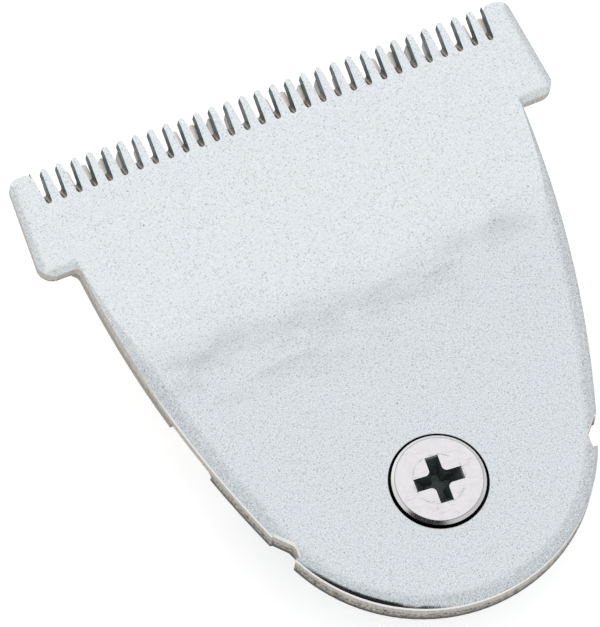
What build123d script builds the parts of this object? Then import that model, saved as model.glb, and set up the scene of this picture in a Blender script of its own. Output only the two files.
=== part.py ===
from build123d import *
from math import atan2, cos, pi, radians, sin, tan
import os

os.makedirs("parts", exist_ok=True)

# A clip-on T-blade for a hair trimmer: a ground comb plate, the toothed cutter that slides
# behind it, and the moulded pieces, spring and screw that hold the two together.
# It lies on its back with the ground face up. X runs along the row of teeth, Y from the tail
# to the tooth tips, Z out of the ground face. The origin is on the surface that it lies on,
# below the middle of the plate. All sizes are in millimetres and degrees.
# A place along the plate is given as a distance back from the tooth tips, or for what belongs to
# the tail as a distance ahead of the tail's end.

# Comb plate: overall form
plate_length = 34.5
tail_thickness = 2.0
front_thickness = 1.2
face_bevel_length = 13.0
face_bevel_drop = 0.5
tip_bevel_length = 0.6
tip_bevel_drop = 0.2
end_tooth_width = 1.46
ear_flare = 0.52
ear_length = 6.65
ear_step = 2.32
tail_radius = 10.45
tail_join_angle = 21.3
seat_length = 13.3
recess_corner_radius = 0.4
tail_roll_radius = 1.4
tail_roll_overhang = 0.55
head_roll_radius = 0.9
head_roll_overhang = 0.35
tip_corner_radius = 0.8
ear_corner_radius = 0.95
neck_corner_radius = 0.35

# Comb plate: teeth
comb_pitch = 0.975
comb_gap_count = 30
comb_gap_length = 2.28
comb_gap_mouth = 0.70
comb_gap_root = 0.37
comb_ramp_angle = 45.0
comb_tip_flat = 0.10
comb_tip_spread = 0.44
comb_tip_length = 0.17
end_tooth_corner_radius = 0.4
gap_root_flats = 6

# Comb plate: the pair of notches, sunk into the sides where the flanks meet the tail's arc
notch_front = 8.2
notch_middle = 7.2
notch_back = 6.35
notch_depth = 0.45
notch_front_slope = 0.9
notch_radius = 0.35

# Cutter
cutter_thickness = 0.8
cutter_setback = 0.45
cutter_back = 17.2
cutter_tooth_count = 26
cutter_pitch = 1.155
cutter_gap_length = 2.4
cutter_gap_mouth = 0.78
cutter_gap_root = 0.42
cutter_tip_flat = 0.14
cutter_tip_spread = 0.46
cutter_tip_length = 0.16
cutter_head_width = 29.9
cutter_ear_width = 30.8
cutter_side_inset = 0.32
cutter_ear_inset = 0.45
cutter_relief_start = 5.0
cutter_rail_length = 1.7
cutter_relief_depth = 0.12
cutter_rest_shift = -0.28

# Follower on the cutter's back, with the slot for the crank pin
follower_back = 9.5
follower_width = 12.8
follower_length = 5.0
follower_plate_thickness = 2.2
follower_tower_width = 6.8
follower_tower_length = 7.6
slot_width = 3.2
slot_length = 5.2
slot_depth = 3.7
peg_diameter = 1.8
peg_spacing = 10.0
follower_edge_radius = 0.4
follower_foot_chamfer = 0.35
foot_groove_depth = 0.65
slot_mouth_chamfer = 0.3

# Carrier behind the tail
carrier_height = 5.2
carrier_inset = 2.2
carrier_wall = 1.4
carrier_pocket_depth = 3.2
carrier_boss_diameter = 6.8
carrier_rib_thickness = 1.0
guide_lip_width = 10.6
guide_lip_drop = 1.0
catch_groove_height = 1.9
catch_groove_width = 1.0
catch_groove_depth = 0.5

# Spring wire
wire_diameter = 0.8
wire_arm_spacing = 16.4
wire_foot_length = 3.5
wire_seat_lead = 0.6
wire_end = 3.9
wire_end_width = 9.0
wire_end_straight = 1.0
wire_foot_radius = 1.0
wire_seat_radius = 3.0

# Screw and insert
screw_place = 7.65
screw_head_diameter = 5.6
screw_head_height = 1.0
screw_head_proud = 0.35
screw_head_chamfer = 0.2
screw_shank_diameter = 2.9
screw_length = 4.4
recess_span = 2.95
recess_arm_width = 0.8
recess_inner_radius = 0.3
recess_depth = 1.2
recess_floor_span = 1.5
recess_floor_arm_width = 0.45
recess_floor_inner_radius = 0.15
recess_turn = -4.0
insert_diameter = 4.2
insert_height = 3.6
insert_flange_diameter = 5.0
insert_flange_height = 0.5
insert_groove_place = 1.1
insert_groove_width = 0.9
insert_groove_depth = 0.25

# Clearances
running_gap = 0.02
guide_gap = 0.05
press_gap = 0.02
wire_gap = 0.05
screw_hole_gap = 0.2
head_seat_gap = 0.18
overcut = 1.0

# Levels and places that follow from the sizes above
tail_underside = carrier_height
face_level = tail_underside + tail_thickness
cutting_plane = face_level - front_thickness
cutter_top = cutting_plane - running_gap
cutter_underside = cutter_top - cutter_thickness
comb_row_width = (comb_gap_count - 1) * comb_pitch
tip_width = comb_row_width + comb_gap_mouth + 2 * end_tooth_width
ear_width = tip_width + 2 * ear_flare
neck_width = ear_width - 2 * ear_step
head_seat_level = face_level + screw_head_proud - screw_head_height
wire_seat = seat_length + wire_seat_lead
follower_foot_level = cutter_underside - follower_plate_thickness
wire_foot_height = follower_foot_level + foot_groove_depth - wire_gap - wire_diameter / 2
wire_seat_height = tail_underside - wire_gap - wire_diameter / 2


def y_at(back):
    """Y of a place this far back from the tooth tips."""
    return plate_length / 2 - back


def y_ahead(distance):
    """Y of a place this far ahead of the tail's end."""
    return distance - plate_length / 2


tail_centre = (0, y_ahead(tail_radius))
join_point = (
    tail_radius * cos(radians(tail_join_angle)),
    tail_centre[1] - tail_radius * sin(radians(tail_join_angle)),
)
neck_corner = (neck_width / 2, y_at(ear_length))


def corners_at(sketch, x, y):
    """The pair of sketch corners nearest to (x, y) and to its mirror image."""
    right = sketch.vertices().sort_by_distance((x, y))[0]
    left = sketch.vertices().sort_by_distance((-x, y))[0]
    return [right, left]


# Neck and tail in plan: a tail arc that runs on into two long flank arcs, and then straight on
# below the head
with BuildSketch() as neck_outline:
    with BuildLine():
        tail_line = CenterArc(tail_centre, tail_radius, -90, 90 - tail_join_angle)
        flank_line = TangentArc(join_point, neck_corner, tangent=tail_line % 1)
        Polyline(neck_corner, (neck_corner[0], y_at(0)), (0, y_at(0)), tail_line @ 0)
    make_face()
    mirror(about=Plane.YZ)

# Head in plan, with its ears
with BuildSketch() as head_outline:
    with BuildLine():
        Polyline(
            (tip_width / 2, y_at(0)),
            (ear_width / 2, y_at(ear_length)),
            (-ear_width / 2, y_at(ear_length)),
            (-tip_width / 2, y_at(0)),
            close=True,
        )
    make_face()

# The whole plate in plan, with the tail notches
with BuildSketch() as plate_outline:
    add(neck_outline.sketch)
    add(head_outline.sketch)
    notch_bottom = (join_point[0] - notch_depth, y_ahead(notch_middle))
    with BuildLine():
        Polyline(
            (notch_bottom[0] + notch_front_slope, y_ahead(notch_front)),
            notch_bottom,
            (notch_bottom[0], y_ahead(notch_back)),
            (tail_radius + overcut, y_ahead(notch_back)),
            (tail_radius + overcut, y_ahead(notch_front)),
            close=True,
        )
    notch_tool = make_face(mode=Mode.PRIVATE)
    add(notch_tool, mode=Mode.SUBTRACT)
    add(notch_tool.mirror(Plane.YZ), mode=Mode.SUBTRACT)
    fillet(corners_at(plate_outline, tip_width / 2, y_at(0)), tip_corner_radius)
    fillet(corners_at(plate_outline, ear_width / 2, y_at(ear_length)), ear_corner_radius)
    fillet(corners_at(plate_outline, neck_width / 2, y_at(ear_length)), neck_corner_radius)
    fillet(corners_at(plate_outline, *notch_bottom), notch_radius)


def gap_shape(mouth, root, length, tips):
    """A tooth gap in plan: tapering flanks and a root rounded in flats. tips is its open end in Y."""
    slope = (mouth - root) / 2 / (length - root / 2)
    open_half = mouth / 2 + slope * overcut
    root_centre = tips - length + root / 2
    turns = [pi * flat / gap_root_flats for flat in range(gap_root_flats + 1)]
    root_line = [(root / 2 * cos(turn), root_centre - root / 2 * sin(turn)) for turn in turns]
    with BuildSketch() as shape:
        with BuildLine():
            Polyline((open_half, tips + overcut), *root_line, (-open_half, tips + overcut), close=True)
        make_face()
    return shape.sketch


def tip_shape(flat, spread, length, tips):
    """What is ground off both corners of a tooth, beside the flat that is left. tips is the tip in Y."""
    with BuildSketch() as shape:
        with BuildLine():
            Polyline((flat / 2, tips), (spread / 2, tips - length), (spread / 2, tips), close=True)
        make_face()
        mirror(about=Plane.YZ)
    return shape.sketch


def corner_shape(radius, corner):
    """What is ground off one outline corner to round it, on the side of lower X and higher Y."""
    with BuildSketch() as shape:
        with Locations(corner):
            Rectangle(radius, radius, align=(Align.MIN, Align.MAX))
        with Locations((corner[0] + radius, corner[1] - radius)):
            Circle(radius, mode=Mode.SUBTRACT)
    return shape.sketch


# What is ground off the face in side view: it falls gently towards the teeth
with BuildSketch(Plane.YZ) as face_fall:
    with BuildLine():
        Polyline(
            (y_at(face_bevel_length), face_level),
            (y_at(-overcut), face_level - face_bevel_drop * (1 + overcut / face_bevel_length)),
            (y_at(-overcut), face_level + overcut),
            (y_at(face_bevel_length), face_level + overcut),
            close=True,
        )
    make_face()


def rolled_blank(outline, overhang, radius):
    """A slab larger than this outline, rounded over along its top edge, except where the teeth are.

    The head lies wholly in the fall of the face, so its edge is rounded along that fall.
    """
    with BuildPart() as blank:
        with BuildSketch(Plane.XY.offset(tail_underside)):
            add(outline.sketch)
            offset(amount=overhang)
        extrude(amount=tail_thickness)
        if outline is head_outline:
            extrude(face_fall.sketch, amount=ear_width, both=True, mode=Mode.SUBTRACT)
        fillet(blank.faces().sort_by(Axis.Z)[-1].edges().sort_by(Axis.Y)[:-1], radius)
    return blank.part


# Comb plate. The blanks are larger than the plate, with a rounded top edge, and are trimmed to
# its outline here. That leaves the shallow rolled edge that a stamped plate has.
with BuildPart() as comb_plate:
    add(rolled_blank(neck_outline, tail_roll_overhang, tail_roll_radius))
    add(rolled_blank(head_outline, head_roll_overhang, head_roll_radius))
    with BuildSketch(Plane.XY.offset(tail_underside)):
        add(plate_outline.sketch)
    extrude(amount=tail_thickness, mode=Mode.INTERSECT)

    # The face falls gently towards the teeth, and a little more at their very tips
    extrude(face_fall.sketch, amount=ear_width, both=True, mode=Mode.SUBTRACT)
    tip_bevel_level = face_level - face_bevel_drop * (1 - tip_bevel_length / face_bevel_length)
    tip_level = face_level - face_bevel_drop - tip_bevel_drop
    with BuildSketch(Plane.YZ):
        with BuildLine():
            Polyline(
                (y_at(tip_bevel_length), tip_bevel_level),
                (y_at(0), tip_level),
                (y_at(-overcut), tip_level),
                (y_at(-overcut), face_level + overcut),
                (y_at(tip_bevel_length), face_level + overcut),
                close=True,
            )
        make_face()
    extrude(amount=ear_width, both=True, mode=Mode.SUBTRACT)

    # The underside is ground away ahead of the tail, where the cutter lies
    with BuildSketch(Plane.YZ) as recess_section:
        with BuildLine():
            Polyline(
                (y_ahead(seat_length), tail_underside - overcut),
                (y_ahead(seat_length), cutting_plane),
                (y_at(-overcut), cutting_plane),
                (y_at(-overcut), tail_underside - overcut),
                close=True,
            )
        make_face()
        recess_corner = recess_section.vertices().sort_by_distance((y_ahead(seat_length), cutting_plane))
        fillet(recess_corner[0], recess_corner_radius)
    extrude(amount=ear_width, both=True, mode=Mode.SUBTRACT)

    # Tooth gaps, ground at a slant, so that each ends in a ramp
    gap_level = face_level - face_bevel_drop * (1 - comb_gap_length / face_bevel_length)
    ramp = radians(comb_ramp_angle)
    with BuildSketch(Plane.XY.offset(gap_level)):
        with GridLocations(comb_pitch, 1, comb_gap_count, 1):
            add(gap_shape(comb_gap_mouth, comb_gap_root, comb_gap_length, y_at(0)))
    extrude(
        amount=(front_thickness + overcut) / sin(ramp),
        dir=(0, cos(ramp), -sin(ramp)),
        both=True,
        mode=Mode.SUBTRACT,
    )
    with BuildSketch(Plane.XY.offset(tail_underside)):
        with GridLocations(comb_pitch, 1, comb_gap_count - 1, 1):
            add(tip_shape(comb_tip_flat, comb_tip_spread, comb_tip_length, y_at(0)))
        add(corner_shape(end_tooth_corner_radius, (tip_width / 2 - end_tooth_width, y_at(0))))
        mirror(about=Plane.YZ)
    extrude(amount=tail_thickness, mode=Mode.SUBTRACT)

    with Locations((0, y_ahead(screw_place), face_level)):
        CounterBoreHole(
            screw_shank_diameter / 2 + screw_hole_gap,
            screw_head_diameter / 2 + head_seat_gap,
            face_level - head_seat_level,
        )

# Cutter in plan: the plate's own outline a little smaller, cut off square at the back
cutter_plane = Plane(origin=(cutter_rest_shift, 0, cutter_underside))
cutter_tips = y_at(cutter_setback)
with BuildSketch() as cutter_outline:
    add(plate_outline.sketch)
    offset(amount=-cutter_side_inset)
    with BuildLine():
        Polyline(
            (cutter_head_width / 2, cutter_tips),
            (cutter_ear_width / 2, y_at(ear_length - cutter_ear_inset)),
            (neck_width / 2, y_at(ear_length - cutter_ear_inset)),
            (neck_width / 2, y_ahead(cutter_back)),
            (-neck_width / 2, y_ahead(cutter_back)),
            (-neck_width / 2, y_at(ear_length - cutter_ear_inset)),
            (-cutter_ear_width / 2, y_at(ear_length - cutter_ear_inset)),
            (-cutter_head_width / 2, cutter_tips),
            close=True,
        )
    make_face(mode=Mode.INTERSECT)

# Cutter. Its top touches the comb only at the teeth and along the rail at its back, so it is
# relieved between.
with BuildPart() as cutter_blade:
    with BuildSketch(cutter_plane):
        add(cutter_outline.sketch)
    extrude(amount=cutter_thickness)
    with BuildSketch(cutter_plane):
        with GridLocations(cutter_pitch, 1, cutter_tooth_count - 1, 1):
            add(gap_shape(cutter_gap_mouth, cutter_gap_root, cutter_gap_length, cutter_tips))
        with GridLocations(cutter_pitch, 1, cutter_tooth_count, 1):
            add(tip_shape(cutter_tip_flat, cutter_tip_spread, cutter_tip_length, cutter_tips))
    extrude(amount=cutter_thickness, mode=Mode.SUBTRACT)
    with BuildSketch(cutter_plane.offset(cutter_thickness)):
        rail_front = y_ahead(cutter_back + cutter_rail_length)
        with Locations((0, rail_front)):
            Rectangle(ear_width, y_at(cutter_relief_start) - rail_front, align=(Align.CENTER, Align.MIN))
    extrude(amount=-cutter_relief_depth, mode=Mode.SUBTRACT)
    with BuildSketch(cutter_plane):
        with Locations((0, y_at(follower_back))):
            with GridLocations(peg_spacing, 1, 2, 1):
                Circle(peg_diameter / 2)
    extrude(amount=cutter_thickness, mode=Mode.SUBTRACT)

# Follower: a moulded bridge with two pegs in the cutter, a groove for the spring's feet, and a
# tower whose slot runs fore and aft, so that a circling crank pin drives it sideways only.
with BuildPart() as drive_follower:
    with BuildSketch(Plane(origin=(cutter_rest_shift, 0, follower_foot_level))):
        with Locations((0, y_at(follower_back))):
            RectangleRounded(follower_width, follower_length, follower_edge_radius)
    extrude(amount=follower_plate_thickness)
    with BuildSketch(Plane(origin=(cutter_rest_shift, 0, follower_foot_level))):
        with Locations((0, y_at(follower_back))):
            Rectangle(follower_width, wire_diameter + 2 * wire_gap)
    extrude(amount=foot_groove_depth, mode=Mode.SUBTRACT)
    with BuildSketch(Plane(origin=(cutter_rest_shift, 0, 0))):
        with Locations((0, y_at(follower_back))):
            RectangleRounded(follower_tower_width, follower_tower_length, 2 * follower_edge_radius)
    extrude(amount=cutter_underside)
    tower_foot = drive_follower.faces().sort_by(Axis.Z)[0]
    chamfer(tower_foot.edges(), follower_foot_chamfer)
    with BuildSketch(Plane(origin=(cutter_rest_shift, 0, 0))):
        with Locations((0, y_at(follower_back))):
            SlotOverall(slot_length, slot_width, rotation=90)
    extrude(amount=slot_depth, mode=Mode.SUBTRACT)
    slot_mouth = drive_follower.faces().sort_by(Axis.Z)[0].inner_wires()[0]
    chamfer(slot_mouth.edges(), slot_mouth_chamfer)
    with BuildSketch(Plane(origin=(cutter_rest_shift, 0, cutter_underside))):
        with Locations((0, y_at(follower_back))):
            with GridLocations(peg_spacing, 1, 2, 1):
                Circle(peg_diameter / 2 - press_gap)
    extrude(amount=cutter_thickness - cutter_relief_depth - running_gap)

# Carrier in plan: the neck and tail, set in all round, behind the cutter's recess
with BuildSketch() as carrier_outline:
    add(neck_outline.sketch)
    offset(amount=-carrier_inset)
    with Locations((0, y_ahead(seat_length))):
        Rectangle(neck_width, plate_length, align=(Align.CENTER, Align.MAX), mode=Mode.INTERSECT)

# The wire's way where it is seated, seen from above on the right, and the radius that leaves a
# short straight between its last two bends
arm_x = wire_arm_spacing / 2
end_x = wire_end_width / 2
seated_way = [(arm_x, y_ahead(wire_seat)), (end_x, y_ahead(wire_end))]
end_turn = atan2(arm_x - end_x, wire_seat - wire_end)
end_radius = (end_x - wire_end_straight / 2) / tan((pi / 2 + end_turn) / 2)

# Carrier: a moulded block, hollow below, with a lip that guides the cutter's back edge
with BuildPart() as blade_carrier:
    with BuildSketch():
        add(carrier_outline.sketch)
    extrude(amount=carrier_height)
    with BuildSketch():
        add(carrier_outline.sketch)
        offset(amount=-carrier_wall)
        with Locations((0, y_ahead(screw_place))):
            Circle(carrier_boss_diameter / 2, mode=Mode.SUBTRACT)
            Rectangle(neck_width, carrier_rib_thickness, mode=Mode.SUBTRACT)
            Rectangle(carrier_rib_thickness, plate_length, mode=Mode.SUBTRACT)
    extrude(amount=carrier_pocket_depth, mode=Mode.SUBTRACT)
    lip_front = y_ahead(cutter_back - guide_gap)
    with BuildSketch(Plane.YZ):
        with BuildLine():
            Polyline(
                (lip_front, cutting_plane),
                (y_ahead(seat_length + recess_corner_radius), cutting_plane),
                (y_ahead(seat_length + recess_corner_radius), tail_underside),
                (y_ahead(seat_length - overcut), tail_underside),
                (y_ahead(seat_length - overcut), tail_underside - guide_lip_drop),
                (lip_front, tail_underside - guide_lip_drop),
                close=True,
            )
        make_face()
    extrude(amount=guide_lip_width / 2, both=True)
    with BuildSketch(Plane.XY.offset(tail_underside)):
        with BuildLine():
            left_way = [(-x, y) for x, y in reversed(seated_way)]
            FilletPolyline(*seated_way, *left_way, radius=end_radius)
        trace(line_width=wire_diameter + 2 * wire_gap)
    extrude(amount=-(wire_diameter + 2 * wire_gap), mode=Mode.SUBTRACT)
    with BuildSketch(Plane.XY.offset(tail_underside)):
        with Locations((0, y_ahead(screw_place))):
            Circle(insert_flange_diameter / 2 + press_gap)
    extrude(amount=-insert_flange_height - press_gap, mode=Mode.SUBTRACT)
    with BuildSketch(Plane.XY.offset(tail_underside)):
        with Locations((0, y_ahead(screw_place))):
            Circle(insert_diameter / 2 + press_gap)
    extrude(amount=-insert_height - press_gap, mode=Mode.SUBTRACT)
    with BuildSketch(Plane.XY.offset(catch_groove_height - catch_groove_width / 2)):
        add(carrier_outline.sketch)
        offset(carrier_outline.sketch, amount=-catch_groove_depth, mode=Mode.SUBTRACT)
        with Locations((0, y_ahead(screw_place))):
            Rectangle(neck_width, plate_length, align=(Align.CENTER, Align.MAX), mode=Mode.INTERSECT)
    extrude(amount=catch_groove_width, mode=Mode.SUBTRACT)

# Spring: one wire, whose feet lie along X in the follower's groove, so that the cutter can slide
with BuildPart() as pressure_spring:
    right_way = [
        (arm_x - wire_foot_length, y_at(follower_back), wire_foot_height),
        (arm_x, y_at(follower_back), wire_foot_height),
    ] + [(x, y, wire_seat_height) for x, y in seated_way]
    left_way = [(-x, y, z) for x, y, z in reversed(right_way)]
    right_radii = [wire_foot_radius, wire_seat_radius, end_radius]
    with BuildLine() as wire_line:
        FilletPolyline(*right_way, *left_way, radius=right_radii + right_radii[::-1])
    with BuildSketch(Plane(origin=right_way[0], z_dir=(1, 0, 0))):
        Circle(wire_diameter / 2)
    sweep(path=wire_line.line)

# Brass insert with a flange and a groove that the plastic flows into
with BuildPart() as threaded_insert:
    with BuildSketch(Plane.XZ):
        with BuildLine():
            outer = insert_diameter / 2
            groove_base = outer - insert_groove_depth
            bore = screw_shank_diameter / 2 + press_gap
            foot = tail_underside - insert_height
            groove_foot = foot + insert_groove_place
            groove_top = groove_foot + insert_groove_width
            Polyline(
                (bore, foot),
                (outer, foot),
                (outer, groove_foot),
                (groove_base, groove_foot),
                (groove_base, groove_top),
                (outer, groove_top),
                (outer, tail_underside - insert_flange_height),
                (insert_flange_diameter / 2, tail_underside - insert_flange_height),
                (insert_flange_diameter / 2, tail_underside),
                (bore, tail_underside),
                close=True,
            )
        make_face()
    revolve(axis=Axis.Z)
threaded_insert.part.position = (0, y_ahead(screw_place), 0)


def cross_shape(span, arm_width, inner_radius):
    """The outline of a cross recess at one depth, with rounded corners between its arms."""
    with BuildSketch() as shape:
        Rectangle(span, arm_width, rotation=recess_turn)
        Rectangle(arm_width, span, rotation=recess_turn)
        fillet(shape.vertices().sort_by_distance((0, 0))[:4], inner_radius)
    return shape.sketch


# Screw with a low round head, a plain shank and a tapering cross recess
with BuildPart(Plane((0, y_ahead(screw_place), 0))) as clamp_screw:
    head_top = head_seat_level + screw_head_height
    with BuildSketch(Plane((0, y_ahead(screw_place), head_seat_level))):
        Circle(screw_head_diameter / 2)
    extrude(amount=screw_head_height)
    chamfer(clamp_screw.edges().sort_by(Axis.Z)[-1], screw_head_chamfer)
    with BuildSketch(Plane((0, y_ahead(screw_place), head_seat_level))):
        Circle(screw_shank_diameter / 2)
    extrude(amount=-screw_length)
    with BuildSketch(Plane((0, y_ahead(screw_place), head_top))):
        add(cross_shape(recess_span, recess_arm_width, recess_inner_radius))
    with BuildSketch(Plane((0, y_ahead(screw_place), head_top - recess_depth))):
        add(cross_shape(recess_floor_span, recess_floor_arm_width, recess_floor_inner_radius))
    loft(mode=Mode.SUBTRACT)

comb_plate.part.label = "comb_plate"
cutter_blade.part.label = "cutter_blade"
drive_follower.part.label = "drive_follower"
blade_carrier.part.label = "blade_carrier"
pressure_spring.part.label = "pressure_spring"
threaded_insert.part.label = "threaded_insert"
clamp_screw.part.label = "clamp_screw"

export_step(comb_plate.part, "parts/comb_plate.step")
export_step(cutter_blade.part, "parts/cutter_blade.step")
export_step(drive_follower.part, "parts/drive_follower.step")
export_step(blade_carrier.part, "parts/blade_carrier.step")
export_step(pressure_spring.part, "parts/pressure_spring.step")
export_step(threaded_insert.part, "parts/threaded_insert.step")
export_step(clamp_screw.part, "parts/clamp_screw.step")
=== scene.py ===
# %% [markdown]
# # A trimmer blade, dressed for its portrait
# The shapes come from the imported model, so this script has two jobs: to put a camera and a small
# studio round the blade, and to give each piece the surface that the real one has.

# %% Load the model
import math

import bpy
from mathutils import Matrix, Vector

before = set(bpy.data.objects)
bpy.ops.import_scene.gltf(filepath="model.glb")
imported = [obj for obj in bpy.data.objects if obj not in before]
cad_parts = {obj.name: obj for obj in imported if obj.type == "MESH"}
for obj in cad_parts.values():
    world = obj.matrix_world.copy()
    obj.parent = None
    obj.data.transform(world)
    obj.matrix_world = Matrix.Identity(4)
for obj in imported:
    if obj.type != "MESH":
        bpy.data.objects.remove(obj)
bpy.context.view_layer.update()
MM = 0.001
print("pieces:", sorted(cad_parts))

# %% [markdown]
# ## The camera
# A product photograph of something this small is taken from well back with a long lens, so that
# the near and the far end keep the same scale. The blade was shot from above its tail, a little
# to its left, with the camera rolled. Three angles, a distance and a scale say all of that.

# %% Camera
IMAGE_WIDTH = 600
IMAGE_HEIGHT = 627
VIEW_AZIMUTH = -33.6
VIEW_ELEVATION = 67.5
VIEW_ROLL = 11.1
VIEW_DISTANCE = 950 * MM
PIXELS_PER_METRE = 17120
PLATE_PIXEL_X = 371.4
PLATE_PIXEL_Y = 345.8
PLATE_POINT = Vector((0, 0.05 * MM, 6 * MM))  # the point that those two pixels show
SENSOR = 36.0
CLIP_NEAR = 0.01
CLIP_FAR = 10.0


def camera_axes(azimuth, elevation, roll):
    """Right, up and forward of a camera, from its three angles in degrees."""
    a, e, r = math.radians(azimuth), math.radians(elevation), math.radians(roll)
    forward = Vector((-math.sin(a) * math.cos(e), math.cos(a) * math.cos(e), -math.sin(e)))
    level = Vector((math.cos(a), math.sin(a), 0))
    upright = level.cross(forward)
    right = level * math.cos(r) + upright * math.sin(r)
    up = upright * math.cos(r) - level * math.sin(r)
    return right, up, forward


right, up, forward = camera_axes(VIEW_AZIMUTH, VIEW_ELEVATION, VIEW_ROLL)
step_right = right * (IMAGE_WIDTH / 2 - PLATE_PIXEL_X) / PIXELS_PER_METRE
step_up = up * (PLATE_PIXEL_Y - IMAGE_HEIGHT / 2) / PIXELS_PER_METRE
aim = PLATE_POINT + step_right + step_up
lens = bpy.data.cameras.new("long_lens")
lens.sensor_fit = "VERTICAL"
lens.sensor_height = SENSOR
lens.lens = PIXELS_PER_METRE * VIEW_DISTANCE * SENSOR / IMAGE_HEIGHT
lens.clip_start = CLIP_NEAR
lens.clip_end = CLIP_FAR
camera = bpy.data.objects.new("camera", lens)
bpy.context.scene.collection.objects.link(camera)
turn = Matrix((right, up, -forward)).transposed().to_4x4()
camera.matrix_world = Matrix.Translation(aim - forward * VIEW_DISTANCE) @ turn
bpy.context.scene.camera = camera
print("lens:", round(lens.lens), "mm")

# %% [markdown]
# ## Colours and nodes
# Colours are written as a designer picks them, in sRGB hex, and turned to the linear values that
# a renderer works in. One helper adds a node, sets it, fills its sockets and joins it to others.
# Every material starts empty and is given to its piece of the model at its end.

# %% Helpers


def linear(code):
    """An sRGB hex colour as linear red, green, blue and alpha."""
    shares = [byte / 255 for byte in bytes.fromhex(code)]
    return [c / 12.92 if c <= 0.04045 else ((c + 0.055) / 1.055) ** 2.4 for c in shares] + [1.0]


def add_node(tree, kind, settings=None, values=None, links=None):
    """A node with its settings, its socket values, and what is joined to its sockets."""
    node = tree.nodes.new(kind)
    for name, value in (settings or {}).items():
        setattr(node, name, value)
    for socket, value in (values or {}).items():
        node.inputs[socket].default_value = value
    for socket, source in (links or {}).items():
        tree.links.new(source, node.inputs[socket])
    return node


def new_material(name):
    """A material with no nodes yet, and its tree."""
    material = bpy.data.materials.new(name)
    material.use_nodes = True
    material.node_tree.nodes.clear()
    return material, material.node_tree


def give(material, surface, *nodes):
    """Ends a material with this surface, and puts it on these nodes of the model."""
    tree = material.node_tree
    add_node(tree, "ShaderNodeOutputMaterial", links={"Surface": surface.outputs[0]})
    for name in nodes:
        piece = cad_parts[name]
        piece.data.materials.clear()
        piece.data.materials.append(material)
    print(material.name, "on", ", ".join(nodes), "with", len(tree.nodes), "shader nodes")


print("mid grey 808080 is", round(linear("808080")[0], 3), "in linear light")

# %% [markdown]
# Two settings come back again and again: a Mix node that mixes colours, and one that multiplies
# them. A Mix node has sockets for numbers, vectors and colours side by side: the colours go in at
# sockets 6 and 7 and come out at 2.

# %% Mixing colours
BLEND = {"data_type": "RGBA"}
MULTIPLY = {"data_type": "RGBA", "blend_type": "MULTIPLY"}
UNDER = 6
OVER = 7
MIXED = 2
print("colours mix at sockets", UNDER, "and", OVER)

# %% [markdown]
# A noise texture could give anything from 0 to 1, but it nearly always stays between 0.3 and 0.7.
# That part is stretched over the range of shades, or of roughness, that a surface needs.

# %% Range of a noise
NOISE_LOW = 0.3
NOISE_HIGH = 0.7
print("noise is read from", NOISE_LOW, "to", NOISE_HIGH)

# %% [markdown]
# Dirt, wear and turning marks run in circles round the screw, on three of the pieces. They all
# need the same measure: how far a point is from the screw's axis.

# %% Distance from the screw
SCREW_Y = -9.6 * MM


def screw_distance(tree, place):
    """How far each point is from the screw's axis, as a socket."""
    flat = add_node(
        tree,
        "ShaderNodeVectorMath",
        {"operation": "MULTIPLY_ADD"},
        values={1: (1.0, 1.0, 0.0), 2: (0.0, -SCREW_Y, 0.0)},
        links={0: place},
    )
    length = {"operation": "LENGTH"}
    far = add_node(tree, "ShaderNodeVectorMath", length, links={0: flat.outputs[0]})
    return far.outputs["Value"]


print("the screw stands at Y", round(SCREW_Y / MM, 1), "mm")

# %% [markdown]
# ## Comb plate: hardened steel, ground, tumbled and thinly chromed
# The plate is ground flat, tumbled with abrasive stones that round its edges a little, and then
# chromed so thinly that the tumbled skin still shows. To the eye it is a pale, even satin grey:
# no brush lines, but a grain of about a tenth of a millimetre and a few darker pits. Painted light
# is added too: the face is painted whiter towards the teeth, along a line that wanders in faint
# clouds. All of it is noise in the plate's own millimetres, so that it stays on the metal when the
# blade moves.

# %% Face of the comb plate
comb_steel, tree = new_material("satin_chromed_steel")
here = add_node(tree, "ShaderNodeTexCoord").outputs
place = here["Object"]
spot = add_node(tree, "ShaderNodeSeparateXYZ", links={0: place})
facing = add_node(tree, "ShaderNodeSeparateXYZ", links={0: here["Normal"]})
GRAIN_SIZE = 0.09 * MM  # chrome grain, really finer: as coarse as a pixel and a half of the picture
CLOUD_SIZE = 4.5 * MM  # how far the stones wander from an even cut
grain = add_node(
    tree,
    "ShaderNodeTexNoise",
    values={"Scale": 1 / GRAIN_SIZE, "Detail": 1.5, "Roughness": 0.8},
    links={"Vector": place},
)
clouds = add_node(
    tree,
    "ShaderNodeTexNoise",
    values={"Scale": 1 / CLOUD_SIZE, "Detail": 5.0, "Roughness": 0.55, "Distortion": 0.6},
    links={"Vector": place},
)
print("grain of", round(GRAIN_SIZE / MM, 2), "mm and clouds of", round(CLOUD_SIZE / MM, 1), "mm")
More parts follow.
